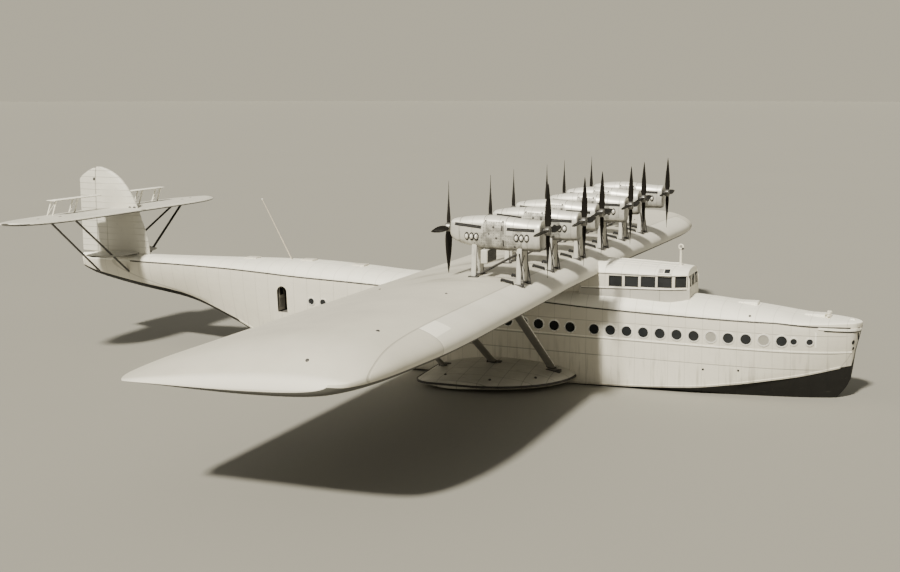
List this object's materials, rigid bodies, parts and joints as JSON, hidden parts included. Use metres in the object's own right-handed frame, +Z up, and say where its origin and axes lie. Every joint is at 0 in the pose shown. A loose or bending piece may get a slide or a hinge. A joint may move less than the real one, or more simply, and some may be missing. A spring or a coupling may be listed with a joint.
{
  "type": "flying boat, scale model at 1:2",
  "caption": "Giant multi-engined flying boat afloat: decked hull with bridge, strutted high wing, sponsons, push-pull engines on open mounts, four-bladed propellers and braced tail.",
  "frame": {"origin": "on the centreline at the waterline, below the fore half of the wing, 14 m full size aft of the stem", "axes": "+X to the bow, +Y to port, +Z up"},
  "size_m": [19.995, 24, 5.335],
  "materials": {
    "hull_skin": "weathered light grey paint over riveted sheet, near-black bottom",
    "wing_skin": "matt light grey dope and sheet, brighter leading edge",
    "tail_skin": "matt light grey",
    "sponson_skin": "worn dark grey",
    "strut_metal": "grey paint",
    "engine_cowl": "mottled bare sheet",
    "mount_metal": "light grey paint",
    "propeller_wood": "dark varnish",
    "window_glass": "dark panes",
    "fittings": "dark paint",
    "staff_wood": "pale varnished staff"
  },
  "bodies": {
    "airframe": {"hull": "hull_skin", "wing": "wing_skin", "fin": "tail_skin", "low_tailplane": "tail_skin", "stabilizer": "tail_skin", "bridge_cabin": "hull_skin", "bridge_glazing": "window_glass", "roof_mast": "fittings", "flagstaff": "staff_wood", "bow_bollard": "fittings", "sponson_starboard": "sponson_skin", "wing_strut_starboard_fore": "strut_metal", "wing_strut_starboard_mid": "strut_metal", "wing_strut_starboard_aft": "strut_metal", "tail_strut_starboard_fore": "strut_metal", "tail_strut_starboard_aft": "strut_metal", "sponson_port": "sponson_skin", "wing_strut_port_fore": "strut_metal", "wing_strut_port_mid": "strut_metal", "wing_strut_port_aft": "strut_metal", "tail_strut_port_fore": "strut_metal", "tail_strut_port_aft": "strut_metal", "nacelle_1": "engine_cowl", "engine_mount_1": "mount_metal", "nacelle_2": "engine_cowl", "engine_mount_2": "mount_metal", "nacelle_3": "engine_cowl", "engine_mount_3": "mount_metal", "nacelle_4": "engine_cowl", "engine_mount_4": "mount_metal", "nacelle_5": "engine_cowl", "engine_mount_5": "mount_metal", "nacelle_6": "engine_cowl", "engine_mount_6": "mount_metal"},
    "rudder": {"rudder": "tail_skin"},
    "rear_door": {"rear_door": "hull_skin"},
    "elevator_starboard": {"elevator_starboard": "tail_skin", "servo_plane_starboard": "tail_skin"},
    "aileron_starboard": {"aileron_starboard": "wing_skin"},
    "elevator_port": {"elevator_port": "tail_skin", "servo_plane_port": "tail_skin"},
    "aileron_port": {"aileron_port": "wing_skin"},
    "propeller_1_fore": {"propeller_1_fore": "propeller_wood"},
    "propeller_1_aft": {"propeller_1_aft": "propeller_wood"},
    "propeller_2_fore": {"propeller_2_fore": "propeller_wood"},
    "propeller_2_aft": {"propeller_2_aft": "propeller_wood"},
    "propeller_3_fore": {"propeller_3_fore": "propeller_wood"},
    "propeller_3_aft": {"propeller_3_aft": "propeller_wood"},
    "propeller_4_fore": {"propeller_4_fore": "propeller_wood"},
    "propeller_4_aft": {"propeller_4_aft": "propeller_wood"},
    "propeller_5_fore": {"propeller_5_fore": "propeller_wood"},
    "propeller_5_aft": {"propeller_5_aft": "propeller_wood"},
    "propeller_6_fore": {"propeller_6_fore": "propeller_wood"},
    "propeller_6_aft": {"propeller_6_aft": "propeller_wood"}
  },
  "joints": [
    {"name": "rudder_hinge", "type": "hinge", "parent": "airframe", "child": "rudder", "pos_m": [-12.525, 0, 3.45], "axis": [0, 0, 1], "range_deg": [-25, 25]},
    {"name": "rear_door_hinge", "type": "hinge", "parent": "airframe", "child": "rear_door", "pos_m": [-6.74, -0.635, 1.475], "axis": [0, 0, 1], "range_deg": [-90, 0]},
    {"name": "elevator_starboard_hinge", "type": "hinge", "parent": "airframe", "child": "elevator_starboard", "pos_m": [-12.05, -2, 3.445], "axis": [0, 1, 0], "range_deg": [-22, 22]},
    {"name": "aileron_starboard_hinge", "type": "hinge", "parent": "airframe", "child": "aileron_starboard", "pos_m": [-2.51, -8.75, 2.3281], "axis": [0, 1, 0], "range_deg": [-20, 20]},
    {"name": "elevator_port_hinge", "type": "hinge", "parent": "airframe", "child": "elevator_port", "pos_m": [-12.05, 2, 3.445], "axis": [0, 1, 0], "range_deg": [-22, 22]},
    {"name": "aileron_port_hinge", "type": "hinge", "parent": "airframe", "child": "aileron_port", "pos_m": [-2.51, 8.75, 2.3281], "axis": [0, 1, 0], "range_deg": [-20, 20]},
    {"name": "propeller_1_fore_spin", "type": "hinge", "parent": "airframe", "child": "propeller_1_fore", "pos_m": [1.515, -4.9125, 3.905], "axis": [1, 0, 0], "continuous": true},
    {"name": "propeller_1_aft_spin", "type": "hinge", "parent": "airframe", "child": "propeller_1_aft", "pos_m": [-0.52, -4.9125, 3.905], "axis": [1, 0, 0], "continuous": true},
    {"name": "propeller_2_fore_spin", "type": "hinge", "parent": "airframe", "child": "propeller_2_fore", "pos_m": [1.675, -2.9475, 3.905], "axis": [1, 0, 0], "continuous": true},
    {"name": "propeller_2_aft_spin", "type": "hinge", "parent": "airframe", "child": "propeller_2_aft", "pos_m": [-0.36, -2.9475, 3.905], "axis": [1, 0, 0], "continuous": true},
    {"name": "propeller_3_fore_spin", "type": "hinge", "parent": "airframe", "child": "propeller_3_fore", "pos_m": [1.515, -0.9825, 3.905], "axis": [1, 0, 0], "continuous": true},
    {"name": "propeller_3_aft_spin", "type": "hinge", "parent": "airframe", "child": "propeller_3_aft", "pos_m": [-0.52, -0.9825, 3.905], "axis": [1, 0, 0], "continuous": true},
    {"name": "propeller_4_fore_spin", "type": "hinge", "parent": "airframe", "child": "propeller_4_fore", "pos_m": [1.675, 0.9825, 3.905], "axis": [1, 0, 0], "continuous": true},
    {"name": "propeller_4_aft_spin", "type": "hinge", "parent": "airframe", "child": "propeller_4_aft", "pos_m": [-0.36, 0.9825, 3.905], "axis": [1, 0, 0], "continuous": true},
    {"name": "propeller_5_fore_spin", "type": "hinge", "parent": "airframe", "child": "propeller_5_fore", "pos_m": [1.515, 2.9475, 3.905], "axis": [1, 0, 0], "continuous": true},
    {"name": "propeller_5_aft_spin", "type": "hinge", "parent": "airframe", "child": "propeller_5_aft", "pos_m": [-0.52, 2.9475, 3.905], "axis": [1, 0, 0], "continuous": true},
    {"name": "propeller_6_fore_spin", "type": "hinge", "parent": "airframe", "child": "propeller_6_fore", "pos_m": [1.675, 4.9125, 3.905], "axis": [1, 0, 0], "continuous": true},
    {"name": "propeller_6_aft_spin", "type": "hinge", "parent": "airframe", "child": "propeller_6_aft", "pos_m": [-0.36, 4.9125, 3.905], "axis": [1, 0, 0], "continuous": true}
  ],
  "couplings": [
    {"joint": "elevator_port_hinge", "follows": "elevator_starboard_hinge", "ratio": 1},
    {"joint": "aileron_port_hinge", "follows": "aileron_starboard_hinge", "ratio": -1}
  ]
}
